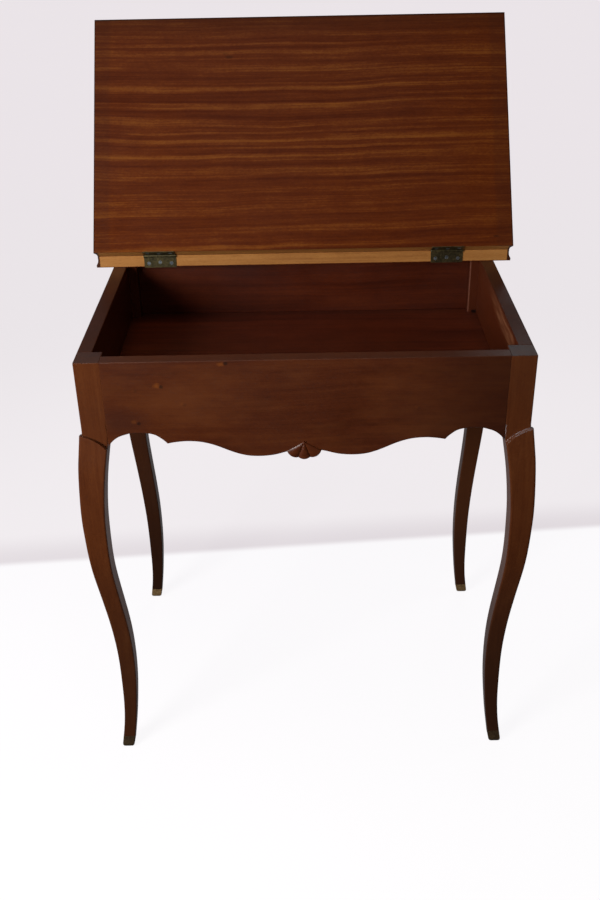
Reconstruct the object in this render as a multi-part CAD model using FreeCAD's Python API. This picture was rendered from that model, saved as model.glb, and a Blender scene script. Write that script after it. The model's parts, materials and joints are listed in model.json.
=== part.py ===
import FreeCAD, Part
import math
import os

V = FreeCAD.Vector

# ---------------------------------------------------------------- driving dimensions, mm
BOX_W = 600.0            # across the posts, left to right
BOX_D = 402.0            # across the posts, front to back
BOX_TOP = 679.0          # top of posts and aprons above the floor
POST = 34.0              # square post at the head of each leg
APRON_T = 20.0           # apron thickness
TENON_T = 8.0            # apron tenon thickness
TENON_IN = 6.0           # tenon set back from the apron's outer face
TENON_L = 19.0           # tenon length into the post
TENON_TOP = -16.0        # tenon top, from the box top
TENON_LOW = -94.0        # tenon bottom, from the box top
FLOOR_T = 5.0            # plywood floor of the compartment
FLOOR_TOP = -91.0        # its upper face, from the box top
GROOVE_D = 6.0           # groove depth in the aprons
TOP_T = 19.0             # thickness of the hinged top
LIPPING = 6.0            # solid edge lipping, moulded on its outer side
VENEER_EDGE = 0.3        # underside veneer stops this far inside the widest edge
VENEER = 0.8             # face veneer
OVERHANG = 26.5          # top beyond the box at the sides and back
STRIP_FRONT = 355.5      # front edge of the fixed rear strip, from the box front
LID_DEPTH = 381.0        # hinged leaf, front to back
LID_REST_GAP = 0.3       # closed leaf above the aprons
HALF_GAP = 1.3           # half of the gap between leaf and strip
PIVOT_DROP = 1.0         # hinge pin below the upper surface
OPEN_DEG = 125.9         # leaf opens this far, past upright, onto its stop
STOP_GAP = 0.05          # each stop chamfer stands this far off the bisecting plane
HINGE_L = 50.0           # butt hinge length
HINGE_X = 225.5          # hinge centre from the middle
LEAF_W = 19.0            # hinge leaf from the pin's centre to its free edge
LEAF_T = 1.1             # hinge leaf thickness
KNUCKLE_R = 2.2          # barrel radius
PIN_R = 1.0              # hinge pin radius
PIN_CLEAR = 0.05         # running clearance in the moving knuckles
KNUCKLE_GAP = 0.3        # axial gap between knuckles
BARREL_GROOVE = 0.35     # groove round the barrel in leaf and strip
SCREW_R = 1.45           # hinge screw shank
SCREW_HEAD_R = 2.8
SCREW_L = 12.0
SCREW_CLEAR = 0.05
SCREW_DX = 17.7          # outer screws from the hinge's centre
SCREW_DROP = 12.2        # outer screws below the pin
SCREW_RISE = 1.5         # middle screw above the outer ones
DOWEL_R = 4.0
CAP_H = 22.0             # toe cap height
CAP_T = 0.9              # toe cap wall

# cabriole leg: outward offset of the outer faces and the inward offset of the
# inner faces, both from the post's outer faces, against depth below the box top
LEG = [
    (-100.0, 3.2, 34.0), (-112.0, 4.3, 33.9), (-125.0, 6.0, 32.6),
    (-142.0, 8.2, 29.8), (-160.0, 10.1, 26.8), (-177.1, 11.3, 24.3),
    (-212.0, 13.1, 20.6), (-247.9, 13.5, 18.5), (-283.0, 12.5, 17.9),
    (-318.7, 10.4, 18.3), (-354.0, 6.5, 20.6), (-389.6, 2.1, 24.0),
    (-425.0, -1.9, 27.4), (-460.4, -5.0, 29.9), (-496.0, -6.9, 30.9),
    (-531.2, -7.4, 30.5), (-566.0, -7.1, 28.7), (-602.1, -6.0, 25.6),
    (-637.0, -3.0, 21.6), (-659.0, 0.2, 18.5), (-679.0, 3.4, 15.6),
]
# ledge where the knee stands proud of the post: distance in from the outer
# arris, height from the box top
LEDGE = [(-22.0, -103.0), (-6.0, -105.2), (0.0, -106.5), (8.0, -109.2),
         (16.0, -113.2), (24.0, -119.0), (30.0, -125.0), (34.0, -130.0),
         (40.0, -139.0)]

# apron lower edges, distance from the middle and height from the box top
ARCH = [(266.0, -124.0), (260.0, -116.5), (254.5, -112.0), (249.0, -109.0),
        (243.0, -107.0), (237.0, -105.2), (224.0, -104.2), (215.0, -104.8),
        (206.0, -106.5), (200.5, -108.8), (195.5, -112.4), (190.5, -116.8),
        (186.5, -121.3)]
FRONT_LOBE = [(186.5, -121.3), (180.0, -120.0), (174.5, -119.2), (164.0, -118.2),
              (153.0, -118.3), (142.0, -119.5), (131.6, -122.0), (121.0, -125.7),
              (110.6, -130.4), (100.0, -135.2), (89.2, -139.2), (78.5, -141.8),
              (70.0, -142.7), (62.0, -142.9), (51.4, -142.3), (40.5, -140.6),
              (31.0, -137.9), (24.0, -136.0), (16.0, -135.0)]
REAR_LOBE = FRONT_LOBE[:15] + [(40.5, -140.6), (27.0, -137.8), (13.0, -135.4), (0.0, -134.6)]
SIDE_LOBE = [(87.5, -121.3), (81.0, -120.0), (72.0, -119.2), (60.0, -120.4),
             (45.0, -124.6), (30.0, -129.6), (15.0, -133.2), (0.0, -134.5)]

SHELL_APEX = -121.4      # shell's upper point, from the box top
SHELL_R = 25.2
SHELL_X = -3.0           # the shell was planted a little off the middle

os.makedirs("parts", exist_ok=True)
parts = {}


def T(h):
    # height above the floor from a height relative to the box top
    return BOX_TOP + h


def box(x0, x1, y0, y1, z0, z1):
    return Part.makeBox(x1 - x0, y1 - y0, z1 - z0, V(x0, y0, z0))


def spline(pts):
    c = Part.BSplineCurve()
    c.interpolate([V(*p) for p in pts])
    return c.toShape()


def cyl(r, p, d, length):
    return Part.makeCylinder(r, length, V(*p), V(*d))


def one(shape):
    shape = shape.removeSplitter() if hasattr(shape, "removeSplitter") else shape
    if shape.ShapeType == "Compound" and len(shape.Solids) == 1:
        return shape.Solids[0]
    return shape


def ease(solid, r, keep):
    # fillet the edges that keep() chooses; falls back to the sharp solid
    edges = [e for e in solid.Edges if keep(e)]
    if not edges:
        return solid
    try:
        f = solid.makeFillet(r, edges)
        f = one(f)
        if f.isValid() and abs(f.Volume - solid.Volume) < 0.05 * solid.Volume and len(f.Solids) == 1:
            return f
    except Exception as exc:
        print("fillet skipped", exc)
    print("fillet refused on", len(edges), "edges")
    return solid


# ---------------------------------------------------------------- legs
def leg_section(z, out, inn, r):
    # rounded square for the front right leg: outer corner towards +x, -y
    x0, x1 = BOX_W / 2 - inn, BOX_W / 2 + out
    y0, y1 = -out, inn
    zz = T(z)
    k = r * (1 - math.sqrt(0.5))
    P = lambda x, y: V(x, y, zz)
    edges = [
        Part.LineSegment(P(x0 + r, y0), P(x1 - r, y0)).toShape(),
        Part.Arc(P(x1 - r, y0), P(x1 - k, y0 + k), P(x1, y0 + r)).toShape(),
        Part.LineSegment(P(x1, y0 + r), P(x1, y1 - r)).toShape(),
        Part.Arc(P(x1, y1 - r), P(x1 - k, y1 - k), P(x1 - r, y1)).toShape(),
        Part.LineSegment(P(x1 - r, y1), P(x0 + r, y1)).toShape(),
        Part.Arc(P(x0 + r, y1), P(x0 + k, y1 - k), P(x0, y1 - r)).toShape(),
        Part.LineSegment(P(x0, y1 - r), P(x0, y0 + r)).toShape(),
        Part.Arc(P(x0, y0 + r), P(x0 + k, y0 + k), P(x0 + r, y0)).toShape(),
    ]
    return Part.Wire(edges)


def arris(z):
    return 1.3 + 0.9 * min(1.0, max(0.0, (z + 673.0) / 570.0))


def leg_loft(inset=0.0):
    wires = [leg_section(z, o - inset, i - inset, arris(z)) for z, o, i in LEG]
    return Part.makeLoft(wires, True, False)


def ledge_tool(front):
    # proud material above the ledge curve, outside one face of the post
    if front:
        pts = [V(BOX_W / 2 - d, 0, T(h)) for d, h in LEDGE]
    else:
        pts = [V(0, d, T(h)) for d, h in LEDGE]
    c = Part.BSplineCurve()
    c.interpolate(pts)
    a, b = pts[0], pts[-1]
    top = T(-60.0)
    up_b, up_a = V(b.x, b.y, top), V(a.x, a.y, top)
    w = Part.Wire([c.toShape(), Part.LineSegment(b, up_b).toShape(),
                   Part.LineSegment(up_b, up_a).toShape(),
                   Part.LineSegment(up_a, a).toShape()])
    f = Part.Face(w)
    if front:
        return f.extrude(V(0, -40, 0))
    f.translate(V(BOX_W / 2, 0, 0))
    return f.extrude(V(40, 0, 0))


loft = leg_loft()
post = box(BOX_W / 2 - POST, BOX_W / 2, 0, POST, T(-104.0), BOX_TOP)
lower = loft.cut(box(200, 400, -100, 100, T(-102.0), T(-60.0)))
# nothing of the knee reaches inside the post's inner faces
lower = lower.common(box(BOX_W / 2 - POST, 400, -100, POST, -1.0, BOX_TOP))
low_cut = box(200, 400, -100, 100, -10.0, CAP_H)
lower = lower.cut(ledge_tool(True)).cut(ledge_tool(False))
shaft = lower.cut(low_cut)
post = ease(post, 1.2, lambda e: abs(e.Length - 104.0) < 0.01 and abs(e.CenterOfMass.x - BOX_W / 2) < 0.01 and abs(e.CenterOfMass.y) < 0.01)
post = ease(post, 0.8, lambda e: (abs(e.Length - 104.0) < 0.01 and abs(e.CenterOfMass.x - BOX_W / 2 + POST) < 0.01 and abs(e.CenterOfMass.y - POST) < 0.01) or (e.BoundBox.ZLength < 1e-4 and abs(e.CenterOfMass.z - BOX_TOP) < 1e-3))
leg = one(post.fuse(shaft))
# toe cap: a drawn cup round the end of the leg, its foot edge rounded
FOOT = [(0.0, 5.6), (0.7, 4.0), (1.8, 2.6), (3.6, 1.2), (6.2, 0.3), (9.4, 0.0), (13.0, 0.0), (17.5, 0.0), (CAP_H, 0.0)]


def offsets(z):
    # outward and inward offsets at a height near the foot
    pts = LEG[-4:]
    res = []
    for k in (1, 2):
        total = 0.0
        for i, a in enumerate(pts):
            w = 1.0
            for j, b in enumerate(pts):
                if i != j:
                    w *= (z - b[0]) / (a[0] - b[0])
            total += w * a[k]
        res.append(total)
    return res


def foot_loft(lift, extra):
    secs = []
    for h, inset in FOOT:
        zz = h if h == CAP_H else min(h + lift, CAP_H - 1.0)
        o, i = offsets(zz - BOX_TOP)
        secs.append(leg_section(zz - BOX_TOP, o - inset - extra, i - inset - extra, max(0.9, 1.35 - extra * 0.5 + 0.2 * inset)))
    return Part.makeLoft(secs, True, False)


cup = foot_loft(0.0, 0.0)
core_low = foot_loft(1.2, CAP_T)
cap = one(cup.cut(core_low))
leg = one(leg.fuse(core_low))
print("leg", leg.isValid(), leg.Volume, len(leg.Solids), "cap", cap.isValid(), cap.Volume, len(cap.Solids))

# mortises for the front and side aprons, and notch-free corner for the floor
mort_x = box(BOX_W / 2 - POST, BOX_W / 2 - POST + TENON_L, TENON_IN, TENON_IN + TENON_T, T(TENON_LOW), T(TENON_TOP))
mort_y = box(BOX_W / 2 - TENON_IN - TENON_T, BOX_W / 2 - TENON_IN, POST - TENON_L, POST, T(TENON_LOW), T(TENON_TOP))
leg = one(leg.cut(mort_x).cut(mort_y))

mirror_x = lambda s: s.mirror(V(0, 0, 0), V(1, 0, 0))
mirror_y = lambda s: s.mirror(V(0, BOX_D / 2, 0), V(0, 1, 0))
for name, s in (("leg", leg), ("toe_cap", cap)):
    parts["front_right_" + name] = s
    parts["front_left_" + name] = mirror_x(s)
    parts["rear_right_" + name] = mirror_y(s)
    parts["rear_left_" + name] = mirror_y(mirror_x(s))


# ---------------------------------------------------------------- aprons
def outline(half_curves, half_len):
    # closed wire in the x-z plane at y = 0, symmetric about x = 0
    edges = []
    for c in half_curves:
        edges.append(spline([(x, 0, T(h)) for x, h in c]))
    for c in half_curves:
        edges.append(spline([(-x, 0, T(h)) for x, h in c]))
    first, last = half_curves[0][0], half_curves[-1][-1]
    if last[0] > 1e-6:
        edges.append(Part.LineSegment(V(last[0], 0, T(last[1])), V(-last[0], 0, T(last[1]))).toShape())
    P = [V(half_len, 0, T(first[1])), V(half_len, 0, BOX_TOP), V(-half_len, 0, BOX_TOP), V(-half_len, 0, T(first[1]))]
    for a, b in zip(P, P[1:]):
        edges.append(Part.LineSegment(a, b).toShape())
    return Part.Face(Part.Wire(Part.__sortEdges__(edges)))


def apron(curves, half_len, tongue=False):
    body = outline(curves, half_len).extrude(V(0, APRON_T, 0))
    if tongue:
        disc = cyl(SHELL_R - 2.8, (SHELL_X, 0, T(SHELL_APEX)), (0, 1, 0), APRON_T)
        disc = disc.common(box(-40, 40, -1, APRON_T + 1, T(SHELL_APEX) - 40, T(SHELL_APEX) - 6))
        body = one(body.fuse(disc))
    body = body.cut(box(-half_len, half_len, APRON_T - GROOVE_D, APRON_T + 1, T(FLOOR_TOP - FLOOR_T), T(FLOOR_TOP + 0.2)))
    body = one(body)

    def rim(e):
        # long edges of the outer and inner faces, not the groove or the ends
        b = e.BoundBox
        on_face = (abs(b.YMax) < 1e-4) or (abs(b.YMin - APRON_T) < 1e-4)
        end = b.XLength < 1e-4
        groove = b.ZLength < 1e-4 and T(FLOOR_TOP - FLOOR_T) - 0.1 < b.ZMin < T(FLOOR_TOP) + 0.3
        return on_face and b.YLength < 1e-4 and not end and not groove

    body = ease(body, 0.8, rim)
    for sgn in (1, -1):
        x0, x1 = half_len * sgn, (half_len + TENON_L) * sgn
        body = body.fuse(box(min(x0, x1), max(x0, x1), TENON_IN, TENON_IN + TENON_T, T(TENON_LOW), T(TENON_TOP)))
    return one(body)


side_half = (BOX_D - 2 * POST) / 2
shift = BOX_W / 2 - POST - side_half
side_arch = [(x - 99.0, h) for x, h in ARCH]
side_arch[0] = (side_half, side_arch[0][1])
front = apron([ARCH, FRONT_LOBE], BOX_W / 2 - POST, tongue=True)
rear = apron([ARCH, REAR_LOBE], BOX_W / 2 - POST)
side = apron([side_arch, SIDE_LOBE], side_half)
rear = rear.mirror(V(0, APRON_T / 2, 0), V(0, 1, 0))
rear.translate(V(0, BOX_D - APRON_T, 0))
# local -y (outer face) turned to +x for the right side
side.rotate(V(0, 0, 0), V(0, 0, 1), 90)
side.translate(V(BOX_W / 2, BOX_D / 2, 0))
parts["front_apron"] = front
parts["right_apron"] = side
parts["left_apron"] = mirror_x(side)

# dowels between the rear apron and the fixed strip
dowels = []
holes = []
for x in (-200.0, 0.0, 200.0):
    p = (x, BOX_D - APRON_T / 2)
    dowels.append(cyl(DOWEL_R, (p[0], p[1], T(-20.0)), (0, 0, 1), 33.0))
    holes.append(cyl(DOWEL_R, (p[0], p[1], T(-21.0)), (0, 0, 1), 35.0))
hole_set = Part.makeCompound(holes)
parts["rear_apron"] = one(rear.cut(hole_set))
parts["strip_dowels"] = Part.makeCompound(dowels)

# ---------------------------------------------------------------- carved shell
def shell_lobe(mid_deg, half_deg, edge0, mid0, edge1, mid1, rim_r, reach, rim_deg):
    a = math.radians(mid_deg)
    u = V(math.cos(a), 0, math.sin(a))
    v = V(-math.sin(a), 0, math.cos(a))
    n = V(0, -1, 0)
    apex = V(SHELL_X, 0, T(SHELL_APEX))
    wires = []
    for r, he, hm in ((1.0, edge0, mid0), (13.0, (edge0 + edge1) / 2, (mid0 + mid1) / 2 + 0.3), (SHELL_R + 6, edge1, mid1)):
        w = r * math.tan(math.radians(half_deg))
        c = apex + u * r
        a0, a1 = c - v * w, c + v * w
        e0, e1 = a0 + n * he, a1 + n * he
        m = c + n * hm
        wires.append(Part.Wire([
            Part.LineSegment(a1, a0).toShape(), Part.LineSegment(a0, e0).toShape(),
            Part.Arc(e0, m, e1).toShape(), Part.LineSegment(e1, a1).toShape()]))
    s = Part.makeLoft(wires, True, True)
    # slightly scalloped rim: each lobe ends on its own arc
    b = math.radians(rim_deg)
    c = apex + V(math.cos(b), 0, math.sin(b)) * (reach - rim_r)
    rim = Part.makeCylinder(rim_r, 20, c + V(0, 5, 0), V(0, -1, 0))
    return s.common(rim)


lobes = []
for mid, half, e0, m0, e1, m1, rr, reach, far in ((-90.0, 18.7, 1.3, 1.8, 3.0, 5.2, 15.5, SHELL_R - 0.6, -90.0),
                                                  (-50.8, 20.7, 1.0, 1.6, 1.5, 4.0, 17.0, SHELL_R + 1.7, -38.0),
                                                  (-129.2, 20.7, 1.0, 1.6, 1.5, 4.0, 17.0, SHELL_R + 1.7, -142.0)):
    lobes.append(shell_lobe(mid, half, e0, m0, e1, m1, rr, reach, far))
shell = lobes[0].fuse(lobes[1:])
shell = shell.fuse(cyl(1.6, (SHELL_X, -1.7, T(SHELL_APEX) - 0.9), (0, 1, 0), 1.7))
shell = one(shell)
print("shell", shell.isValid(), shell.Volume, len(shell.Solids), shell.BoundBox)
parts["apron_shell"] = shell

# ---------------------------------------------------------------- floor of the compartment
fx = BOX_W / 2 - APRON_T + GROOVE_D - 0.5
fy0, fy1 = APRON_T - GROOVE_D + 0.5, BOX_D - APRON_T + GROOVE_D - 0.5
floor = box(-fx, fx, fy0, fy1, T(FLOOR_TOP - FLOOR_T), T(FLOOR_TOP))
c = POST + 0.3
for sx in (1, -1):
    for y0, y1 in ((0, c), (BOX_D - c, BOX_D)):
        x0, x1 = sorted((sx * (BOX_W / 2 - c), sx * BOX_W / 2))
        floor = floor.cut(box(x0, x1, y0, y1, T(-110), T(-80)))
parts["floor_panel"] = one(floor)

# ---------------------------------------------------------------- top: strip and hinged leaf, both built closed
py, pz = STRIP_FRONT - HALF_GAP, T(TOP_T - PIVOT_DROP)
lid_y1 = py - HALF_GAP
lid_y0 = lid_y1 - LID_DEPTH
half_x = BOX_W / 2 + OVERHANG
strip_y1 = BOX_D + OVERHANG
lid_z0 = T(LID_REST_GAP)


def lip_face(z0, z1, place):
    # outer side of a lipping: u outward from the lipping's inner face, v up;
    # a small nose at the underside, a quirk, a cove, and an eased upper arris
    L = LIPPING
    nose = [(L - 0.3, z0), (L, z0 + 1.6), (L - 0.5, z0 + 3.6)]
    cove = [(L - 0.9, z0 + 3.6), (L - 2.7, z0 + 7.8), (L - 3.2, z1 - 3.4)]
    round_over = [(L - 3.2, z1 - 1.0), (L - 3.5, z1 - 0.3), (L - 4.2, z1)]
    edges = [Part.Arc(*[place(*p) for p in arc]).toShape() for arc in (nose, cove, round_over)]
    joints = [((0, z0), nose[0]), (nose[2], cove[0]), (cove[2], round_over[0]),
              (round_over[2], (0, z1)), ((0, z1), (0, z0))]
    for p, q in joints:
        edges.append(Part.LineSegment(place(*p), place(*q)).toShape())
    return Part.Face(Part.Wire(Part.__sortEdges__(edges)))


def lipping_x(y_in, outward, z0, z1):
    # runs along x, mitred to 45 degrees at both ends
    f = lip_face(z0, z1, lambda u, v: V(-half_x, y_in + outward * u, v))
    s = f.extrude(V(2 * half_x, 0, 0))
    for sx in (1, -1):
        xi = half_x - LIPPING
        a = V(sx * xi, y_in, z0 - 1)
        b = V(sx * (xi + 20), y_in + outward * 20, z0 - 1)
        c2 = V(sx * (xi + 20), y_in, z0 - 1)
        tri = Part.Face(Part.makePolygon([a, b, c2, a])).extrude(V(0, 0, z1 - z0 + 2))
        d2 = V(sx * (xi + 20), y_in - outward * 1.0, z0 - 1)
        e2 = V(sx * xi, y_in - outward * 1.0, z0 - 1)
        slab = Part.Face(Part.makePolygon([a, c2, d2, e2, a])).extrude(V(0, 0, z1 - z0 + 2))
        s = s.cut(tri).cut(slab)
    return one(s)


def lipping_y(side_x, y_a, y_b, z0, z1, mitre_a, mitre_b):
    # runs along y on the side_x (+1 or -1) edge
    xi = half_x - LIPPING
    f = lip_face(z0, z1, lambda u, v: V(side_x * (xi + u), y_a, v))
    s = f.extrude(V(0, y_b - y_a, 0))
    for y, on, d in ((y_a, mitre_a, -1), (y_b, mitre_b, 1)):
        if on:
            # y is the outer corner; the inner corner sits LIPPING short of it
            yi = y - d * LIPPING
            a = V(side_x * xi, yi, z0 - 1)
            b = V(side_x * (xi + 20), yi + d * 20, z0 - 1)
            c2 = V(side_x * xi, yi + d * 20, z0 - 1)
            tri = Part.Face(Part.makePolygon([a, b, c2, a])).extrude(V(0, 0, z1 - z0 + 2))
            s = s.cut(tri)
    return one(s)


zt = T(TOP_T)
top = {}
xi = half_x - LIPPING
# fixed strip
z0 = T(0.0)
top["strip_core"] = box(-xi, xi, STRIP_FRONT, strip_y1 - LIPPING, z0 + VENEER, zt - VENEER)
top["strip_top_veneer"] = box(-xi, xi, STRIP_FRONT, strip_y1 - LIPPING, zt - VENEER, zt)
# the underside veneer runs out over the lippings
xv = half_x - VENEER_EDGE
top["strip_underside_veneer"] = box(-xv, xv, STRIP_FRONT, strip_y1 - VENEER_EDGE, z0, z0 + VENEER)
top["strip_rear_lipping"] = lipping_x(strip_y1 - LIPPING, 1, z0 + VENEER, zt)
top["strip_right_lipping"] = lipping_y(1, STRIP_FRONT, strip_y1, z0 + VENEER, zt, False, True)
top["strip_left_lipping"] = lipping_y(-1, STRIP_FRONT, strip_y1, z0 + VENEER, zt, False, True)
# hinged leaf
z0 = lid_z0
top["lid_core"] = box(-xi, xi, lid_y0 + LIPPING, lid_y1, z0 + VENEER, zt - VENEER)
top["lid_top_veneer"] = box(-xi, xi, lid_y0 + LIPPING, lid_y1, zt - VENEER, zt)
top["lid_underside_veneer"] = box(-xv, xv, lid_y0 + VENEER_EDGE, lid_y1, z0, z0 + VENEER)
top["lid_front_lipping"] = lipping_x(lid_y0 + LIPPING, -1, z0 + VENEER, zt)
top["lid_right_lipping"] = lipping_y(1, lid_y0, lid_y1, z0 + VENEER, zt, True, False)
top["lid_left_lipping"] = lipping_y(-1, lid_y0, lid_y1, z0 + VENEER, zt, True, False)

# stop chamfers: planes through the pivot that meet when the leaf is fully open
half_free = math.radians((180.0 - OPEN_DEG) / 2)
off = STOP_GAP / math.cos(half_free)


def chamfer_tool(sgn):
    a = V(-half_x - 5, py, pz - off)
    b = V(-half_x - 5, py + sgn * 20, pz - off + 20 * math.tan(half_free))
    c2 = V(-half_x - 5, py + sgn * 20, pz + 30)
    d2 = V(-half_x - 5, py, pz + 30)
    return Part.Face(Part.makePolygon([a, b, c2, d2, a])).extrude(V(2 * half_x + 10, 0, 0))


chamfer = {1: chamfer_tool(1), -1: chamfer_tool(-1)}
grooves = [cyl(KNUCKLE_R + BARREL_GROOVE, (s * HINGE_X - HINGE_L / 2 - 0.4, py, pz), (1, 0, 0), HINGE_L + 0.8) for s in (1, -1)]

# ---------------------------------------------------------------- hinges
def screw(x, z, sgn):
    # countersunk screw driven along y; sgn +1 into the strip, -1 into the leaf
    y_face = py + sgn * (HALF_GAP - LEAF_T)
    y_wood = py + sgn * HALF_GAP
    d = (0, sgn, 0)
    head_h = LEAF_T
    head = Part.makeCone(SCREW_HEAD_R, SCREW_R + 0.15, head_h, V(x, y_face, z), V(*d))
    shank = cyl(SCREW_R, (x, y_wood - sgn * 0.01, z), d, SCREW_L)
    tip = Part.makeCone(SCREW_R, 0.3, 2.6, V(x, y_wood + sgn * (SCREW_L - 0.01), z), V(*d))
    s = head.fuse([shank, tip])
    slot = box(x - 3.2, x + 3.2, -0.35, 0.35, z - 0.4, z + 0.4)
    slot.translate(V(0, y_face + sgn * 0.25, 0))
    s = s.cut(slot)
    return one(s)


def screw_hole(x, z, sgn):
    y_face = py + sgn * (HALF_GAP - LEAF_T)
    y_wood = py + sgn * HALF_GAP
    d = (0, sgn, 0)
    head = Part.makeCone(SCREW_HEAD_R + SCREW_CLEAR, SCREW_R + 0.15 + SCREW_CLEAR, LEAF_T, V(x, y_face, z), V(*d))
    shank = cyl(SCREW_R + 0.15 + SCREW_CLEAR, (x, y_wood - sgn * 0.2, z), d, SCREW_L + 0.4)
    tip = Part.makeCone(SCREW_R + 0.15 + SCREW_CLEAR, 0.4, 3.0, V(x, y_wood + sgn * (SCREW_L + 0.2), z), V(*d))
    return head.fuse([shank, tip])


K = HINGE_L / 5


def leaf(cx, sgn):
    mine = (0, 2, 4) if sgn > 0 else (1, 3)
    r_bore = PIN_R if sgn > 0 else PIN_R + PIN_CLEAR
    ya, yb = sorted((py + sgn * (HALF_GAP - LEAF_T), py + sgn * HALF_GAP))
    x0, x1 = cx - HINGE_L / 2, cx + HINGE_L / 2
    plate = box(x0, x1, ya, yb, pz - LEAF_W, pz - KNUCKLE_R - 0.3)
    # rounded free corners
    plate = ease(plate, 1.5, lambda e: abs(e.Length - LEAF_T) < 1e-3 and e.CenterOfMass.z < pz - LEAF_W + 0.1)
    for k in mine:
        a = x0 + k * K + (KNUCKLE_GAP / 2 if k > 0 else 0)
        b = x0 + (k + 1) * K - (KNUCKLE_GAP / 2 if k < 4 else 0)
        tab = box(a, b, ya, yb, pz - KNUCKLE_R - 0.4, pz)
        ring = cyl(KNUCKLE_R, (a, py, pz), (1, 0, 0), b - a)
        plate = plate.fuse([tab, ring])
    plate = plate.cut(cyl(r_bore, (x0 - 1, py, pz), (1, 0, 0), HINGE_L + 2))
    for dx, dz in ((-SCREW_DX, 0), (0, SCREW_RISE), (SCREW_DX, 0)):
        plate = plate.cut(screw_hole(cx + dx, pz - SCREW_DROP + dz, sgn))
    return one(plate)


fixed_screws, lid_screws, wood_holes = [], [], {1: [], -1: []}
for side_name, s in (("left", -1), ("right", 1)):
    cx = s * HINGE_X
    top[side_name + "_hinge_fixed_leaf"] = leaf(cx, 1)
    top[side_name + "_hinge_moving_leaf"] = leaf(cx, -1)
    pin = cyl(PIN_R, (cx - HINGE_L / 2, py, pz), (1, 0, 0), HINGE_L)
    for end in (-1, 1):
        dome = Part.makeSphere(1.4, V(cx + end * (HINGE_L / 2 - 0.55), py, pz))
        half = box(0, 5, py - 5, py + 5, pz - 5, pz + 5)
        half.translate(V(cx + HINGE_L / 2 if end > 0 else cx - HINGE_L / 2 - 5, 0, 0))
        pin = pin.fuse(dome.common(half))
    top[side_name + "_hinge_pin"] = one(pin)
    for dx, dz in ((-SCREW_DX, 0), (0, SCREW_RISE), (SCREW_DX, 0)):
        for sgn, bag in ((1, fixed_screws), (-1, lid_screws)):
            bag.append(screw(cx + dx, pz - SCREW_DROP + dz, sgn))
            wood_holes[sgn].append(screw_hole(cx + dx, pz - SCREW_DROP + dz, sgn))
top["hinge_screws_fixed"] = Part.makeCompound(fixed_screws)
top["hinge_screws_moving"] = Part.makeCompound(lid_screws)

for name in list(top):
    if name.startswith("strip_") or name.startswith("lid_"):
        sgn = 1 if name.startswith("strip_") else -1
        s = top[name].cut(chamfer[sgn])
        if name.endswith(("core", "veneer")):
            for g in grooves:
                s = s.cut(g)
        if name.endswith("core"):
            for h in wood_holes[sgn]:
                s = s.cut(h)
        if name == "strip_core" or name == "strip_underside_veneer":
            s = s.cut(hole_set)
        top[name] = one(s)

moving = [n for n in top if n.startswith("lid_") or n.endswith("_moving_leaf") or n == "hinge_screws_moving"]
for name, s in top.items():
    if name in moving:
        s.rotate(V(0, py, pz), V(1, 0, 0), -OPEN_DEG)
    parts[name] = s

# ---------------------------------------------------------------- place and write
everything = Part.makeCompound(list(parts.values()))
# exact extremes in y decide the origin: knee of the front legs, free edge of the open leaf
verts = [v.Point for s in parts.values() for v in s.Vertexes]
bb = everything.optimalBoundingBox(True, False) if hasattr(everything, "optimalBoundingBox") else everything.BoundBox
y_mid = (bb.YMin + bb.YMax) / 2
print("bbox before shift", bb)
print("y_mid %.4f" % y_mid)
for name in sorted(parts):
    s = parts[name]
    s.translate(V(0, -y_mid, 0))
    ok = s.isValid() and all(x.isClosed() for x in s.Shells)
    print("%-28s solids %2d faces %3d valid %s vol %.1f" % (name, len(s.Solids), len(s.Faces), ok, s.Volume))
    s.exportStep("parts/%s.step" % name)
print("pivot y %.4f z %.4f" % (py - y_mid, pz))
print("nodes", len(parts))
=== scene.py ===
import json
import math

import bmesh
import bpy
from mathutils import Matrix, Vector


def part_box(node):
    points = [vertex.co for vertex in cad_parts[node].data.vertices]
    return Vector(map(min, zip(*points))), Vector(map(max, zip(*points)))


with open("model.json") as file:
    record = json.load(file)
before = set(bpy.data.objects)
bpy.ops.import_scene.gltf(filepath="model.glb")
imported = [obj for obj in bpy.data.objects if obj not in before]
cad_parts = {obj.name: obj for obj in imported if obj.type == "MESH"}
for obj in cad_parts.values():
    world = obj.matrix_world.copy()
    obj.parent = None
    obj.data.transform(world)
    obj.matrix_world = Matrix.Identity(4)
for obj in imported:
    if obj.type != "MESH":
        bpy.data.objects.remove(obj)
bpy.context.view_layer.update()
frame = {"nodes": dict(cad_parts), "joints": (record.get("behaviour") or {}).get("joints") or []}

nodes = frame["nodes"]
hinge = frame["joints"][0]
pivot = Vector(hinge["pos_m"])
open_angle = math.radians(hinge["range_deg"][1])
apron_lo, apron_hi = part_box("front_apron")
BOX_TOP = apron_hi.z
FRONT_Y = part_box("front_apron")[0].y


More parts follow.
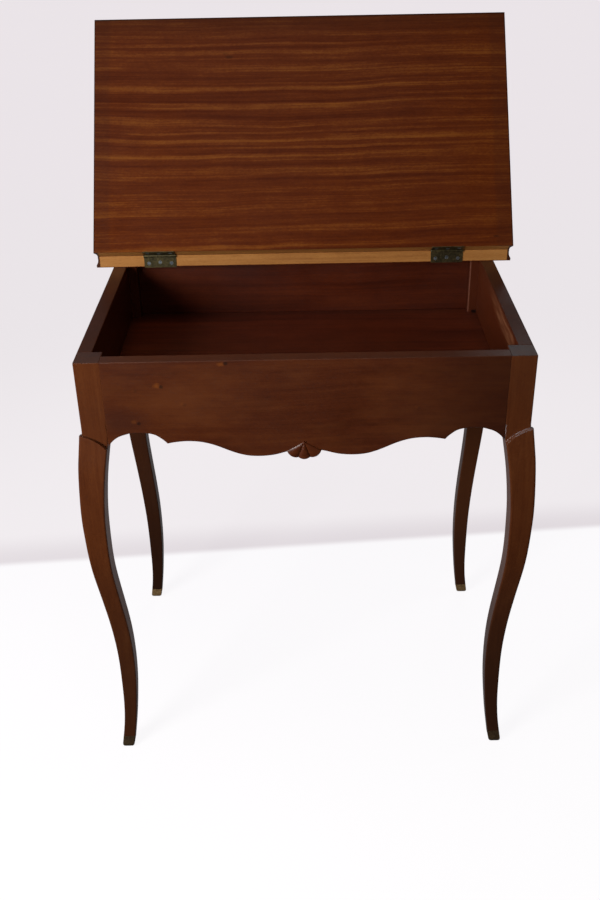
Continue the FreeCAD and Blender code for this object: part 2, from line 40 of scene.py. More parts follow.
# ------------------------------------------------------------------ node helpers
class Tree:
    """Small builder for a material's node tree."""

    def __init__(self, name):
        self.mat = bpy.data.materials.new(name)
        self.mat.use_nodes = True
        self.nt = self.mat.node_tree
        self.nt.nodes.clear()
        self.out = self.nt.nodes.new("ShaderNodeOutputMaterial")
        self.coord = self.nt.nodes.new("ShaderNodeTexCoord").outputs["Object"]
        self.rounded = None

    def put(self, socket, value):
        if value is None:
            return
        if isinstance(value, bpy.types.NodeSocket):
            self.nt.links.new(value, socket)
        else:
            socket.default_value = value

    def math(self, op, a, b=None, c=None, clamp=False):
        n = self.nt.nodes.new("ShaderNodeMath")
        n.operation = op
        n.use_clamp = clamp
        for i, v in enumerate((a, b, c)):
            if v is not None:
                self.put(n.inputs[i], v)
        return n.outputs[0]

    def vec(self, x, y, z):
        n = self.nt.nodes.new("ShaderNodeCombineXYZ")
        for i, v in enumerate((x, y, z)):
            self.put(n.inputs[i], v)
        return n.outputs[0]

    def split(self, v):
        n = self.nt.nodes.new("ShaderNodeSeparateXYZ")
        self.put(n.inputs[0], v)
        return n.outputs[0], n.outputs[1], n.outputs[2]

    def mapping(self, v, loc=(0, 0, 0), rot=(0, 0, 0), scale=(1, 1, 1)):
        n = self.nt.nodes.new("ShaderNodeMapping")
        self.put(n.inputs["Vector"], v)
        n.inputs["Location"].default_value = loc
        n.inputs["Rotation"].default_value = rot
        n.inputs["Scale"].default_value = scale
        return n.outputs[0]

    def noise(self, v, scale=1.0, detail=2.0, rough=0.5, lac=2.0, distort=0.0, color=False):
        n = self.nt.nodes.new("ShaderNodeTexNoise")
        n.noise_dimensions = "3D"
        self.put(n.inputs["Vector"], v)
        n.inputs["Scale"].default_value = scale
        n.inputs["Detail"].default_value = detail
        n.inputs["Roughness"].default_value = rough
        n.inputs["Lacunarity"].default_value = lac
        n.inputs["Distortion"].default_value = distort
        return n.outputs["Color"] if color else n.outputs["Fac"]

    def span(self, v, a, b, c=0.0, d=1.0, smooth=False):
        n = self.nt.nodes.new("ShaderNodeMapRange")
        n.interpolation_type = "SMOOTHSTEP" if smooth else "LINEAR"
        n.clamp = True
        self.put(n.inputs["Value"], v)
        for key, val in (("From Min", a), ("From Max", b), ("To Min", c), ("To Max", d)):
            self.put(n.inputs[key], val)
        return n.outputs["Result"]

    def ramp(self, fac, stops, interp="LINEAR"):
        n = self.nt.nodes.new("ShaderNodeValToRGB")
        n.color_ramp.interpolation = interp
        e = n.color_ramp.elements
        e[0].position, e[0].color = stops[0][0], (*stops[0][1], 1)
        e[1].position, e[1].color = stops[-1][0], (*stops[-1][1], 1)
        for pos, col in stops[1:-1]:
            x = e.new(pos)
            x.color = (*col, 1)
        self.put(n.inputs[0], fac)
        return n.outputs[0]

    def mix(self, fac, a, b, blend="MIX"):
        n = self.nt.nodes.new("ShaderNodeMix")
        n.data_type = "RGBA"
        n.blend_type = blend
        n.clamp_factor = True
        self.put(n.inputs[0], fac)
        for sock, v in ((n.inputs[6], a), (n.inputs[7], b)):
            if isinstance(v, tuple) and len(v) == 3:
                v = (*v, 1)
            self.put(sock, v)
        return n.outputs[2]

    def bump(self, height, strength=0.3, distance=0.0003, normal=None):
        n = self.nt.nodes.new("ShaderNodeBump")
        n.inputs["Strength"].default_value = strength
        n.inputs["Distance"].default_value = distance
        self.put(n.inputs["Height"], height)
        self.put(n.inputs["Normal"], normal)
        return n.outputs[0]

    def geometry(self):
        return self.nt.nodes.new("ShaderNodeNewGeometry")

    def edge_mask(self, radius):
        """1 on arrises, 0 on flats: how far the normal turns within a small radius."""
        b = self.nt.nodes.new("ShaderNodeBevel")
        if isinstance(radius, float):
            b.inputs["Radius"].default_value = radius
        else:
            self.put(b.inputs["Radius"], radius)
        g = self.geometry()
        d = self.nt.nodes.new("ShaderNodeVectorMath")
        d.operation = "DOT_PRODUCT"
        self.put(d.inputs[0], b.outputs[0])
        self.put(d.inputs[1], g.outputs["Normal"])
        self.rounded = b.outputs[0]
        return self.span(d.outputs["Value"], 0.97, 0.75)

    def shader(self, color, rough, normal=None, metallic=0.0, spec=0.5, coat=0.0, coat_rough=0.2, ior=1.5, aniso=0.0):
        p = self.nt.nodes.new("ShaderNodeBsdfPrincipled")
        self.put(p.inputs["Base Color"], (*color, 1) if isinstance(color, tuple) and len(color) == 3 else color)
        self.put(p.inputs["Roughness"], rough)
        self.put(p.inputs["Metallic"], metallic)
        p.inputs["IOR"].default_value = ior
        p.inputs["Specular IOR Level"].default_value = spec
        p.inputs["Coat Weight"].default_value = coat
        p.inputs["Coat Roughness"].default_value = coat_rough
        if normal is not None:
            self.put(p.inputs["Normal"], normal)
            if coat > 0:
                self.put(p.inputs["Coat Normal"], normal)
        self.nt.links.new(p.outputs[0], self.out.inputs[0])
        return p


def scaled(c, k):
    return tuple(x * k for x in c)


# ------------------------------------------------------------------ wood
def grain_coords(t, along, lid=False, shift=(0.0, 0.0, 0.0)):
    """(u along the grain, v across the face, w into the board), in metres, with the leaf laid back to closed."""
    v = t.coord
    if lid:
        rot = Matrix.Rotation(open_angle, 3, "X")
        loc = pivot - rot @ pivot
        v = t.mapping(v, loc=tuple(loc), rot=(open_angle, 0, 0))
    x, y, z = t.split(v)
    if any(shift):
        x, y, z = t.math("ADD", x, shift[0]), t.math("ADD", y, shift[1]), t.math("ADD", z, shift[2])
    if along == "X":
        return x, z, y
    if along == "XY":
        return x, y, z
    if along == "YX":
        return y, x, z
    if along == "Y":
        return y, z, x
    return z, x, y


def mul(t, a, b):
    return t.math("MULTIPLY", a, b)


def add(t, a, b):
    return t.math("ADD", a, b)


def wood(name, along, tones, lid=False, shift=(0, 0, 0), streak=1.0, streak_mm=9.0, figure=0.5, rough=0.36,
         coat=0.0, spec=0.5, bump=0.22, edge=0.30, pores=0.45, ribbon=None, extra=None, mottle=0.3, fibre=0.55, arris=0.0016, after=None):
    """Polished timber: streaks of growth along the grain, figure across it, pores, handling wear."""
    t = Tree(name)
    dark, mid, light = tones
    u, v, w = grain_coords(t, along, lid, shift)
    k = 1000.0 / streak_mm
    # fibres wander slowly across the face
    wob = t.noise(t.vec(mul(t, u, 2.6), mul(t, v, 4.0), mul(t, w, 4.0)), 1.0, 2.0, 0.5)
    wob2 = t.noise(t.vec(mul(t, u, 11.0), mul(t, v, 14.0), mul(t, w, 14.0)), 1.0, 1.0, 0.5)
    wander = add(t, mul(t, t.math("SUBTRACT", wob, 0.5), 0.030), mul(t, t.math("SUBTRACT", wob2, 0.5), 0.0035))
    vw = add(t, v, wander)
    wide = t.noise(t.vec(mul(t, u, 1.8), mul(t, vw, k), mul(t, w, k * 0.8)), 1.0, 1.0, 0.5)
    narrow = t.noise(t.vec(mul(t, u, 3.5), mul(t, vw, k * 2.6), mul(t, w, k * 2)), 1.0, 2.0, 0.55)
    fine = t.noise(t.vec(mul(t, u, 14.0), mul(t, vw, k * 9.0), mul(t, w, 900.0)), 1.0, 3.0, 0.6)
    fig = t.noise(t.vec(mul(t, u, 7.0), mul(t, v, 16.0), mul(t, w, 12.0)), 1.0, 3.0, 0.55)
    blot = t.noise(t.vec(mul(t, u, 6.0), mul(t, v, 8.0), mul(t, w, 8.0)), 1.0, 4.0, 0.6)
    s = mul(t, t.math("SUBTRACT", wide, 0.5), 1.5 * streak)
    s = add(t, s, mul(t, t.math("SUBTRACT", narrow, 0.5), 0.9 * streak))
    s = add(t, s, mul(t, t.math("SUBTRACT", fine, 0.5), fibre))
    curl = t.noise(t.vec(mul(t, u, 34.0), mul(t, v, 90.0), mul(t, w, 70.0)), 1.0, 3.0, 0.6)
    s = add(t, s, mul(t, t.math("SUBTRACT", curl, 0.5), 0.42))
    speck = t.noise(t.vec(mul(t, u, 210.0), mul(t, v, 420.0), mul(t, w, 420.0)), 1.0, 2.0, 0.6)
    s = add(t, s, mul(t, t.math("SUBTRACT", speck, 0.5), 0.42))
    s = add(t, s, mul(t, t.math("SUBTRACT", fig, 0.5), figure))
    s = add(t, s, 0.40)
    if ribbon:
        s = ribbon(t, s, u, v, w, vw)
    col = t.ramp(s, [(0.0, dark), (0.42, mid), (1.0, light)])
    # pores: short dark dashes along the grain
    p = t.noise(t.vec(mul(t, u, 150.0), mul(t, vw, 2300.0), mul(t, w, 2300.0)), 1.0, 1.0, 0.5)
    pore = t.span(p, 0.62, 0.74)
    col = t.mix(mul(t, pore, pores), col, scaled(dark, 0.5))
    # handling: darker, duller clouds in the polish
    col = t.mix(t.span(blot, 0.50, 0.75, 0.0, mottle), col, scaled(dark, 0.8))
    if extra:
        col = extra(t, col, u, v, w)
    if edge > 0:
        e = t.edge_mask(arris(t) if callable(arris) else arris)
        worn = mul(t, e, t.span(blot, 0.38, 0.6, edge, edge * 0.25))
        col = t.mix(worn, col, scaled(light, 1.35))
        if after:
            col = after(t, col, e)
    r = add(t, mul(t, t.span(blot, 0.35, 0.75), 0.12), rough - 0.05)
    r = add(t, r, mul(t, pore, 0.15))
    h = t.math("SUBTRACT", mul(t, fine, 0.35), mul(t, pore, 0.6))
    h = add(t, h, mul(t, fig, 0.6))
    nrm = t.bump(h, bump, 0.0003, t.rounded)
    t.shader(col, r, nrm, spec=spec, coat=coat, coat_rough=0.18)
    return t.mat


def lid_ribbon(strength, phase):
    """Ribbon stripe of quarter-cut mahogany: golden bands every 28.7 mm, uneven in strength, fading to the right."""
    def f(t, s, u, v, w, vw):
        wav = t.noise(t.vec(mul(t, u, 3.0), mul(t, v, 16.0), 0.0), 1.0, 2.0, 0.5)
        ph = add(t, mul(t, vw, 2 * math.pi / 0.0287), mul(t, t.math("SUBTRACT", wav, 0.5), 3.0))
        c = t.math("COSINE", add(t, ph, phase))
        band = t.span(c, -0.35, 1.0, smooth=True)
        ph2 = add(t, mul(t, vw, 2 * math.pi / 0.0121), mul(t, t.math("SUBTRACT", wav, 0.5), 5.0))
        band2 = t.span(t.math("COSINE", add(t, ph2, phase + 0.7)), -0.5, 1.0, smooth=True)
        amp = t.noise(t.vec(mul(t, u, 3.0), mul(t, v, 34.0), 7.3), 1.0, 2.0, 0.5)
        amp2 = t.noise(t.vec(mul(t, u, 3.5), mul(t, v, 60.0), 3.1), 1.0, 2.0, 0.5)
        side = t.span(u, -0.30, 0.32, 1.0, 0.62)
        a = mul(t, mul(t, t.span(amp, 0.30, 0.62, 0.15, 1.0), side), strength)
        a2 = mul(t, mul(t, t.span(amp2, 0.34, 0.66, 0.0, 1.0), side), strength * 0.55)
        s = add(t, add(t, s, mul(t, band, a)), mul(t, band2, a2))
        return add(t, s, -0.34 * strength)
    return f


def lid_marks_and_shade(t, col, u, v, w):
    """Underside: darker margins where it overhangs the box, painted shade darkening the free edge, two small dark
    spots.
    """
    ax = t.math("ABSOLUTE", u)
    margin = t.span(ax, 0.2975, 0.3055, smooth=True)
    col = t.mix(mul(t, margin, 0.24), col, (0.050, 0.0135, 0.0065))
    # painted shade: darker towards the free front edge
    front = pivot.y - 0.381
    col = t.mix(t.span(v, front + 0.045, front, 0.0, 0.38, smooth=True), col, (0.042, 0.0105, 0.0036))
    rim = t.span(t.math("MINIMUM", t.math("SUBTRACT", 0.3262, ax), t.math("SUBTRACT", v, front)), 0.0022, 0.0004)
    col = t.mix(mul(t, rim, 0.75), col, (0.018, 0.006, 0.003))
    for x0, y0, r, k in ((-0.1124, pivot.y - 0.316, 0.0042, 0.5), (0.2998, pivot.y - 0.0169, 0.003, 0.5),
                         (-0.118, pivot.y - 0.322, 0.003, 0.25)):
        d = t.math("SQRT", add(t, t.math("POWER", mul(t, t.math("SUBTRACT", u, x0), 0.45), 2.0),
                               t.math("POWER", t.math("SUBTRACT", v, y0), 2.0)))
        col = t.mix(mul(t, t.span(d, r, r * 0.25, smooth=True), k), col, (0.020, 0.008, 0.004))
    return col


def top_face_sheen(t, col, tone, strength, z_top=None):
    """Upper face of the box rim: painted sheen in patches, standing in for the light and reflections the top faces
    catch.
    """
    x, y, z = t.split(t.coord)
    n = t.noise(t.coord, 120.0, 4.0, 0.6)
    m = t.span(z, (z_top or BOX_TOP) - 0.0008, (z_top or BOX_TOP) - 0.0002)
    return t.mix(mul(t, m, t.span(n, 0.32, 0.62, strength * 0.55, strength)), col, tone)


def apron_knots_and_shade(t, col, u, v, w):
    """Front apron: small orange pin-knot spots, each with a dark eye to its right; painted shade towards the right
    post.
    """
    jit = t.noise(t.coord, 170.0, 3.0, 0.6)
    jit = mul(t, t.math("SUBTRACT", jit, 0.5), 0.006)
    for x0, h, ex, eh, r, k in ((-0.1946, -0.0345, -0.1882, -0.0362, 0.0052, 0.85), (-0.1095, -0.0052, -0.1025, -0.0040, 0.0046, 0.60),
                                (-0.1627, -0.0615, -0.1592, -0.0630, 0.0036, 0.42), (-0.2284, -0.0872, -0.2222, -0.0900, 0.0046, 0.62),
                                (-0.2253, -0.0412, -0.2230, -0.0420, 0.0030, 0.22), (0.1460, -0.0720, 0.1490, -0.0735, 0.0030, 0.18)):
        du = mul(t, t.math("SUBTRACT", u, x0), 0.75)
        dv = t.math("SUBTRACT", v, BOX_TOP + h)
        d = t.math("SQRT", add(t, mul(t, du, du), mul(t, dv, dv)))
        d = add(t, d, jit)
        col = t.mix(mul(t, t.span(d, r, r * 0.15, smooth=True), k), col, (0.235, 0.062, 0.0085))
        du = t.math("SUBTRACT", u, ex)
        dv = t.math("SUBTRACT", v, BOX_TOP + eh)
        d = t.math("SQRT", add(t, mul(t, du, du), mul(t, dv, dv)))
        col = t.mix(mul(t, t.span(d, 0.0038, 0.0012, smooth=True), min(1.0, k * 1.3)), col, (0.010, 0.004, 0.0025))
    warm = t.noise(t.vec(mul(t, u, 9.0), mul(t, v, 26.0), 1.7), 1.0, 3.0, 0.6)
    col = t.mix(t.span(warm, 0.46, 0.70, 0.0, 0.55), col, (0.150, 0.0400, 0.0098))
    # painted shade: darker, duller beside the right post, where the light from the left falls off; a little darker
    # towards the left end; a purplish cloud low on the left
    col = t.mix(t.span(u, 0.10, 0.27, 0.0, 0.55, smooth=True), col, (0.030, 0.0075, 0.0028))
    col = t.mix(t.span(u, -0.10, -0.26, 0.0, 0.14, smooth=True), col, (0.030, 0.0075, 0.0028))
    # painted sheen and light on the top of the front rail
    col = top_face_sheen(t, col, (0.102, 0.0390, 0.0230), 0.55)
    du = mul(t, add(t, u, 0.245), 0.6)
    dv = t.math("SUBTRACT", v, BOX_TOP - 0.088)
    d = t.math("SQRT", add(t, mul(t, du, du), mul(t, dv, dv)))
    return t.mix(t.span(d, 0.030, 0.004, 0.0, 0.45, smooth=True), col, (0.045, 0.0135, 0.0090))


def leg_marks_and_shade(t, col, u, v, w):
    """Painted shade: legs darker towards the floor, the right ones most; the rear left one darkest (painted shade)
    and the rear right one lighter (painted light); darker and redder on the inner faces inside the box.
    """
    x, y, z = t.split(t.coord)
    ax = t.math("ABSOLUTE", x)
    # painted shade: darker towards the floor
    col = t.mix(t.span(z, 0.46, 0.03, 0.0, 0.62, smooth=True), col, (0.030, 0.0120, 0.0058))
    # painted shade on the rear left leg and painted light on the rear right leg
    rear = mul(t, t.span(y, 0.0, 0.05), t.span(z, 0.580, 0.565))
    col = t.mix(mul(t, mul(t, rear, t.span(x, 0.0, -0.05)), 0.62), col, (0.020, 0.0075, 0.0036))
    col = t.mix(mul(t, mul(t, rear, t.span(x, 0.0, 0.05)), 0.40), col, (0.150, 0.0480, 0.0170))
    depth = mul(t, t.span(y, FRONT_Y + 0.0186, FRONT_Y + 0.0201), t.span(y, FRONT_Y + 0.3838, FRONT_Y + 0.3822))
    inner = mul(t, mul(t, t.span(ax, 0.2822, 0.2812), depth), t.span(z, 0.585, 0.588))
    col = t.mix(mul(t, inner, 0.85), col, (0.072, 0.0130, 0.0042))
    # rear right post, inside: painted highlight along the lit arris, and painted shade for the dark gap where it
    # meets the floor
    dx = t.math("ABSOLUTE", t.math("SUBTRACT", x, 0.2660))
    dy = t.math("ABSOLUTE", t.math("SUBTRACT", y, FRONT_Y + 0.3680))
    line = mul(t, t.span(t.math("MAXIMUM", dx, dy), 0.0022, 0.0010), t.span(z, 0.588, 0.592))
    col = t.mix(mul(t, line, 0.7), col, (0.240, 0.092, 0.058))
    gap = mul(t, t.span(z, 0.5925, 0.5905), t.span(z, 0.583, 0.585))
    gap = mul(t, gap, t.span(t.math("ABSOLUTE", t.math("SUBTRACT", x, 0.2768)), 0.0052, 0.0040))
    gap = mul(t, gap, t.span(dy, 0.0020, 0.0010))
    col = t.mix(gap, col, (0.004, 0.002, 0.0015))
    # painted shade: the right legs darker still towards the floor
    col = t.mix(mul(t, t.span(x, 0.0, 0.1), t.span(z, 0.40, 0.05, 0.0, 0.38, smooth=True)), col, (0.024, 0.0115, 0.0066))
    # painted sheen on the post tops, bluer on the right for a reflected window glint
    m = t.span(x, -0.1, 0.1)
    tone = t.mix(m, (0.068, 0.0340, 0.0270), (0.060, 0.0480, 0.0470))
    return top_face_sheen(t, col, tone, 0.80)


def leg_arris(t):
    """Arrises: crisp on the square post, softer on the curved leg."""
    x, y, z = t.split(t.coord)
    return t.span(z, 0.5945, 0.5900, 0.0012, 0.0032)


def ledge_painted_highlight(t, col, e):
    """Right front leg: painted highlight, a cool grey shine on the carved ledge under the post where it faces the
    light.
    """
    x, y, z = t.split(t.coord)
    band = mul(t, t.span(z, 0.5590, 0.5660, smooth=True), t.span(z, 0.5790, 0.5772))
    m = mul(t, mul(t, band, t.span(x, 0.0, 0.1)), t.span(y, -0.20, -0.24))
    m = mul(t, m, t.span(x, 0.325, 0.280, 0.45, 1.0))
    return t.mix(mul(t, m, t.span(e, 0.0, 0.75)), col, (0.330, 0.290, 0.305))


def side_marks_and_light(t, col, u, v, w):
    """Right side: painted light in streaks along the upper inside face, where the light from the left reaches over
    the opposite rim.
    """
    n = t.noise(t.vec(mul(t, u, 16.0), mul(t, v, 190.0), 2.2), 1.0, 4.0, 0.65)
    inner = t.span(w, 0.2815, 0.2800)
    on = mul(t, inner, t.span(w, 0.26, 0.27))
    low = add(t, BOX_TOP - 0.026, mul(t, u, 0.050))
    zone = mul(t, t.span(v, low, add(t, low, 0.014), smooth=True), t.span(v, BOX_TOP - 0.0010, BOX_TOP - 0.006))
    along = mul(t, t.span(u, -0.235, -0.20, smooth=True), t.span(u, 0.00, -0.13, 0.10, 1.0, smooth=True))
    m = mul(t, mul(t, mul(t, on, zone), along), t.span(n, 0.40, 0.60, 0.25, 0.95))
    # painted light: lighter streaks along the upper inside face
    col = t.mix(m, col, (0.300, 0.122, 0.058))
    x, y, z = t.split(t.coord)
    inside = mul(t, t.span(t.math("ABSOLUTE", x), 0.2985, 0.2965), t.span(z, BOX_TOP - 0.0002, BOX_TOP - 0.0008))
    col = t.mix(mul(t, inside, t.math("SUBTRACT", 0.45, mul(t, m, 0.45))), col, (0.078, 0.0130, 0.0040))
    # painted sheen on the top of the side rails
    return top_face_sheen(t, col, (0.046, 0.0225, 0.0170), 0.60)


def floor_marks_and_shade(t, col, u, v, w):
    """Compartment floor: painted shade for a small dark gap in the rear right corner at the post's base; darker along
    the edges next to the walls.
    """
    d = t.math("SQRT", add(t, t.math("POWER", t.math("SUBTRACT", u, 0.2765), 2.0), t.math("POWER", t.math("SUBTRACT", v, FRONT_Y + 0.3655), 2.0)))
    # painted shade: dark spot for the gap at the post's base
    col = t.mix(t.span(d, 0.0045, 0.0025, 0.0, 0.85), col, (0.006, 0.003, 0.002))
    rim = t.span(t.math("MINIMUM", t.math("SUBTRACT", 0.280, t.math("ABSOLUTE", u)),
                        t.math("MINIMUM", add(t, v, -FRONT_Y - 0.020), t.math("SUBTRACT", FRONT_Y + 0.382, v))), 0.020, 0.0)
    return t.mix(mul(t, rim, 0.35), col, (0.045, 0.010, 0.004))


# tones are linear albedo: dark, mid, light
LEG = ((0.084, 0.0190, 0.0046), (0.120, 0.0310, 0.0080), (0.168, 0.0520, 0.0140))
APRON = ((0.058, 0.0112, 0.0028), (0.092, 0.0192, 0.0050), (0.138, 0.0355, 0.0085))
BACK = ((0.042, 0.0056, 0.0013), (0.072, 0.0110, 0.0026), (0.130, 0.0245, 0.0060))
TOP = ((0.076, 0.0120, 0.0018), (0.128, 0.0245, 0.0032), (0.262, 0.0780, 0.0095))
INSIDE = ((0.050, 0.0062, 0.0014), (0.092, 0.0130, 0.0028), (0.156, 0.0265, 0.0062))
LIP = ((0.040, 0.0105, 0.0035), (0.070, 0.0190, 0.0060), (0.110, 0.0340, 0.0105))
CORE = ((0.33, 0.125, 0.028), (0.46, 0.195, 0.047), (0.58, 0.275, 0.080))


mats = {}
mats["leg"] = wood("leg_mahogany", "Z", LEG, streak=0.42, streak_mm=5.0, figure=0.5, edge=0.30, rough=0.31, arris=leg_arris, extra=leg_marks_and_shade, after=ledge_painted_highlight)
mats["apron_front"] = wood("apron_mahogany_front", "X", APRON, streak=0.36, streak_mm=9.0, figure=1.05, fibre=0.7, extra=apron_knots_and_shade)
mats["apron_x"] = wood("apron_mahogany_back", "X", BACK, shift=(1.3, 0.4, 0.2), streak=0.6, streak_mm=9.0, figure=0.9)
mats["apron_y"] = wood("apron_mahogany_side", "Y", APRON, streak=0.4, streak_mm=11.0, figure=0.6, spec=0.25, extra=side_marks_and_light)
mats["lid"] = wood("top_veneer_inner", "XY", TOP, lid=True, streak=0.62, streak_mm=6.0, figure=0.22, edge=0.0, spec=0.2, fibre=0.85,
                   ribbon=lid_ribbon(0.31, -(pivot.y - 0.124) * 2 * math.pi / 0.0287), extra=lid_marks_and_shade, mottle=0.12)
mats["lid_top"] = wood("top_veneer_outer", "XY", TOP, lid=True, shift=(3.1, 1.7, 0), streak=0.5, streak_mm=8.5, figure=0.35, edge=0.0,
                       ribbon=lid_ribbon(0.5, 0.0), rough=0.40, coat=0.08)
mats["strip"] = wood("top_veneer_strip", "XY", TOP, shift=(3.1, 1.7, 0), streak=0.5, streak_mm=8.5, figure=0.35, edge=0.0,
                     ribbon=lid_ribbon(0.5, 0.0), rough=0.40, coat=0.08)
mats["floor"] = wood("floor_plywood", "XY", INSIDE, streak=0.6, streak_mm=10.0, figure=0.8, edge=0.0, rough=0.5, extra=floor_marks_and_shade)
mats["lip_x"] = wood("top_lipping_front", "XY", LIP, lid=True, streak=0.4, streak_mm=5.0)
mats["lip_y"] = wood("top_lipping_side", "YX", LIP, lid=True, streak=0.4, streak_mm=5.0)
mats["lip_strip_x"] = wood("top_lipping_strip", "XY", LIP, streak=0.4, streak_mm=5.0)
mats["lip_strip_y"] = wood("top_lipping_strip_end", "YX", LIP, streak=0.4, streak_mm=5.0)
mats["core_lid"] = wood("top_core_lid", "XY", CORE, lid=True, streak=0.5, streak_mm=6.0, rough=0.6, spec=0.3, edge=0.0, mottle=0.2)
mats["core_strip"] = wood("top_core_strip", "XY", CORE, streak=0.5, streak_mm=6.0, rough=0.6, spec=0.3, edge=0.0, mottle=0.2)
mats["shell"] = wood("carved_mahogany", "X", APRON, streak=0.3, streak_mm=6.0, figure=0.4, edge=0.5, rough=0.30)
mats["dowel"] = wood("beech_dowel", "Z", ((0.40, 0.25, 0.12), (0.5, 0.33, 0.18), (0.6, 0.42, 0.25)), streak=0.3, streak_mm=3.0, rough=0.7, edge=0.0)


def metal(name, base, dark, light, rough, metallic=1.0, patina=0.5):
    t = Tree(name)
    n = t.noise(t.coord, 260.0, 5.0, 0.6)
    m = t.noise(t.coord, 900.0, 3.0, 0.6)
    big = t.noise(t.coord, 75.0, 2.0, 0.5)
    col = t.ramp(add(t, mul(t, n, 0.7), mul(t, big, 0.3)), [(0.36, dark), (0.5, base), (0.66, light)])
    e = t.edge_mask(0.0006)
    col = t.mix(mul(t, e, 0.6), col, scaled(light, 1.7))
    r = t.span(n, 0.3, 0.7, rough + 0.12, rough - 0.1)
    met = t.span(m, 0.35, 0.65, metallic - patina * 0.6, metallic)
    nrm = t.bump(add(t, n, mul(t, m, 0.5)), 0.35, 0.00008)
    t.shader(col, r, nrm, metallic=met, spec=0.5)
    return t.mat


mats["brass"] = metal("aged_brass", (0.125, 0.104, 0.052), (0.050, 0.046, 0.026), (0.26, 0.210, 0.090), 0.42)
mats["cap"] = metal("toe_cap_brass", (0.085, 0.052, 0.024), (0.045, 0.026, 0.012), (0.13, 0.085, 0.040), 0.5, metallic=0.55)
# rear toe caps: a lighter copy of the same brass, painted light where the rear feet catch more light
mats["cap_rear"] = metal("toe_cap_brass_rear_lit", (0.330, 0.200, 0.085), (0.200, 0.118, 0.048), (0.440, 0.290, 0.130), 0.5, metallic=0.45)
mats["steel"] = metal("screw_steel", (0.24, 0.28, 0.32), (0.07, 0.085, 0.095), (0.60, 0.68, 0.74), 0.34)
mats["pin"] = metal("hinge_pin_steel", (0.14, 0.13, 0.10), (0.05, 0.046, 0.035), (0.30, 0.28, 0.22), 0.38)


def paint(node, mat):
    o = nodes[node]
    o.data.materials.clear()
    o.data.materials.append(mat)


for n in nodes:
    if n.endswith("_leg"):
        paint(n, mats["leg"])
    elif n.endswith("toe_cap"):
        # the rear toe caps take the lighter, painted-light copy of the brass
        paint(n, mats["cap_rear" if n.startswith("rear") else "cap"])
    elif n == "front_apron":
        paint(n, mats["apron_front"])
    elif n == "rear_apron":
        paint(n, mats["apron_x"])
    elif n.endswith("_apron"):
        paint(n, mats["apron_y"])
    elif n == "apron_shell":
        paint(n, mats["shell"])
    elif n == "floor_panel":
        paint(n, mats["floor"])
    elif n == "lid_underside_veneer":
        paint(n, mats["lid"])
    elif n == "lid_top_veneer":
        paint(n, mats["lid_top"])
    elif n.startswith("strip_") and n.endswith("veneer"):
        paint(n, mats["strip"])
    elif n == "lid_core":
        paint(n, mats["core_lid"])
    elif n == "strip_core":
        paint(n, mats["core_strip"])
    elif n == "lid_front_lipping":
        paint(n, mats["lip_x"])
    elif n in ("lid_left_lipping", "lid_right_lipping"):
        paint(n, mats["lip_y"])
    elif n == "strip_rear_lipping":
        paint(n, mats["lip_strip_x"])
    elif n in ("strip_left_lipping", "strip_right_lipping"):
        paint(n, mats["lip_strip_y"])
    elif n == "strip_dowels":
        paint(n, mats["dowel"])
    elif "screws" in n:
        paint(n, mats["steel"])
    elif n.endswith("_pin"):
        paint(n, mats["pin"])
    else:
        paint(n, mats["brass"])


# ------------------------------------------------------------------ stage
def quad(name, corners):
    me = bpy.data.meshes.new(name)
    me.from_pydata([tuple(c) for c in corners], [], [(0, 1, 2, 3)])
    me.update()
    o = bpy.data.objects.new(name, me)
    bpy.context.scene.collection.objects.link(o)
    return o


def stage_material(name):
    """Pale studio sweep: a near-white floor that turns a shade greyer beyond a soft line behind the object."""
    t = Tree(name)
    g = t.geometry()
    x, y, z = t.split(g.outputs["Position"])
    far = t.math("SUBTRACT", y, t.math("ADD", t.math("MULTIPLY", x, 0.084), 0.272))
    step = t.span(far, -0.012, 0.012, smooth=True)
    near_col = t.mix(t.span(far, -0.9, -0.1), (0.985, 0.975, 0.985), (0.970, 0.955, 0.975))
    wall_col = t.mix(t.span(far, 0.0, 3.5, smooth=True), (0.870, 0.830, 0.855), (0.870, 0.818, 0.850))
    # painted shade: a soft darker band on the backdrop just beyond the line
    wall_col = t.mix(t.span(far, 0.115, 0.008, smooth=True), wall_col, (0.750, 0.700, 0.732))
    soft = t.noise(g.outputs["Position"], 1.4, 2.0, 0.5)
    col = t.mix(step, near_col, wall_col)
    col = t.mix(t.span(soft, 0.3, 0.7, 0.0, 0.035), col, (0.78, 0.76, 0.78))
    e = t.nt.nodes.new("ShaderNodeEmission")
    t.put(e.inputs["Color"], col)
    e.inputs["Strength"].default_value = 0.95
    d = t.nt.nodes.new("ShaderNodeBsdfDiffuse")
    reach = t.math("SQRT", t.math("ADD", t.math("MULTIPLY", x, x), t.math("MULTIPLY", y, y)))
    t.put(d.inputs["Color"], t.mix(t.span(reach, 0.7, 1.7, smooth=True), (0.115, 0.115, 0.115), (0.0, 0.0, 0.0)))
    add = t.nt.nodes.new("ShaderNodeAddShader")
    t.nt.links.new(e.outputs[0], add.inputs[0])
    t.nt.links.new(d.outputs[0], add.inputs[1])
    t.nt.links.new(add.outputs[0], t.out.inputs[0])
    return t.mat


floor = quad("stage_floor", [(-14, -14, 0), (14, -14, 0), (14, 14, 0), (-14, 14, 0)])
floor.data.materials.append(stage_material("stage_sweep"))
floor.visible_diffuse = False
floor.visible_glossy = False


# ------------------------------------------------------------------ light
def area(name, loc, target, size, power, color=(1, 1, 1), size_y=None, glossy=True):
    d = bpy.data.lights.new(name, "AREA")
    d.shape = "RECTANGLE"
    d.size = size
    d.size_y = size_y or size
    d.energy = power
    d.color = color
    o = bpy.data.objects.new(name, d)
    bpy.context.scene.collection.objects.link(o)
    o.location = loc
    o.rotation_euler = (Vector(target) - Vector(loc)).to_track_quat("-Z", "Y").to_euler()
    o.visible_glossy = glossy
    return o


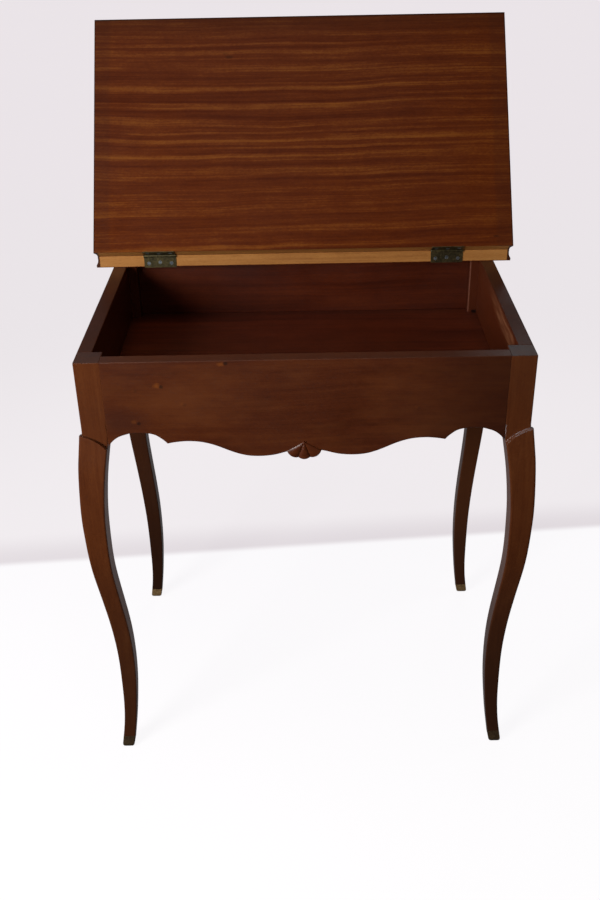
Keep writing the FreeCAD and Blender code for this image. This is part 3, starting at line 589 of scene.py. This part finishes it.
area("key_window", (-1.30, -1.42, 1.22), (0, -0.05, 0.70), 0.7, 33, (1.0, 0.985, 0.965), 0.7)
area("fill_front", (0.7, -2.6, 1.25), (0, 0, 0.6), 1.6, 4.5, (1.0, 0.97, 0.95), glossy=False)
area("top_soft", (-0.2, -0.3, 2.6), (0, 0.0, 0.6), 1.2, 7, (0.97, 0.98, 1.0), glossy=False)
area("far_window", (0.745, 1.62, 1.55), (0.283, -0.265, 0.679), 0.16, 0.22, (0.90, 0.96, 1.0))

area("back_fill", (0.5, 2.5, 0.60), (0, 0.1, 0.62), 1.6, 22, (1.0, 0.985, 0.97), glossy=False)
area("side_fill", (2.3, 0.25, 0.38), (0.3, 0, 0.46), 1.0, 13, (1.0, 0.985, 0.97), 0.5, glossy=False)

world = bpy.data.worlds.new("studio")
bpy.context.scene.world = world
world.use_nodes = True
wt = world.node_tree
wt.nodes.clear()
wout = wt.nodes.new("ShaderNodeOutputWorld")
wbg = wt.nodes.new("ShaderNodeBackground")
wcoord = wt.nodes.new("ShaderNodeTexCoord")
wsep = wt.nodes.new("ShaderNodeSeparateXYZ")
wt.links.new(wcoord.outputs["Generated"], wsep.inputs[0])
# the room is brighter low behind the object, dim in front and overhead
wdir = wt.nodes.new("ShaderNodeMath")
wdir.operation = "MULTIPLY_ADD"
wt.links.new(wsep.outputs[2], wdir.inputs[0])
wdir.inputs[1].default_value = -0.62
wt.links.new(wsep.outputs[1], wdir.inputs[2])
wmap = wt.nodes.new("ShaderNodeMapRange")
wmap.inputs["From Min"].default_value = -1.2
wmap.inputs["From Max"].default_value = 1.2
wt.links.new(wdir.outputs[0], wmap.inputs["Value"])
wramp = wt.nodes.new("ShaderNodeValToRGB")
wt.links.new(wmap.outputs[0], wramp.inputs[0])
we = wramp.color_ramp.elements
we[0].position, we[0].color = 0.0, (0.018, 0.018, 0.018, 1)
we[1].position, we[1].color = 1.0, (0.200, 0.205, 0.215, 1)
for pos, col in ((0.45, (0.022, 0.021, 0.021)), (0.62, (0.055, 0.055, 0.057)), (0.74, (0.075, 0.075, 0.078)), (0.85, (0.150, 0.152, 0.158))):
    el = we.new(pos)
    el.color = (*col, 1)
wpath = wt.nodes.new("ShaderNodeLightPath")
wmix = wt.nodes.new("ShaderNodeMix")
wmix.data_type = "RGBA"
wt.links.new(wpath.outputs["Is Camera Ray"], wmix.inputs[0])
wt.links.new(wramp.outputs[0], wmix.inputs[6])
wmix.inputs[7].default_value = (0.80, 0.765, 0.79, 1)
wt.links.new(wmix.outputs[2], wbg.inputs["Color"])
wbg.inputs["Strength"].default_value = 1.0
wt.links.new(wbg.outputs[0], wout.inputs[0])

# ------------------------------------------------------------------ camera
F_PX, PITCH, ROLL, YAW = 1050.32, math.radians(29.890), math.radians(-1.1538), math.radians(-0.4153)
EYE = Vector((0.000249, FRONT_Y - 1.228842, BOX_TOP + 0.572064))
fwd = Vector((math.sin(YAW) * math.cos(PITCH), math.cos(YAW) * math.cos(PITCH), -math.sin(PITCH)))
right = fwd.cross(Vector((0, 0, 1))).normalized()
up = right.cross(fwd)
r2 = math.cos(ROLL) * right + math.sin(ROLL) * up
u2 = -math.sin(ROLL) * right + math.cos(ROLL) * up
cam_data = bpy.data.cameras.new("camera")
cam = bpy.data.objects.new("camera", cam_data)
bpy.context.scene.collection.objects.link(cam)
m = Matrix.Identity(4)
for i, col in enumerate((r2, u2, -fwd)):
    for j in range(3):
        m[j][i] = col[j]
m.translation = EYE
cam.matrix_world = m
cam_data.sensor_width = 36.0
cam_data.sensor_fit = "AUTO"
cam_data.lens = F_PX * 36.0 / 900.0
cam_data.clip_end = 60
bpy.context.scene.camera = cam

bpy.context.scene.view_settings.view_transform = "Standard"
bpy.context.scene.view_settings.look = "None"
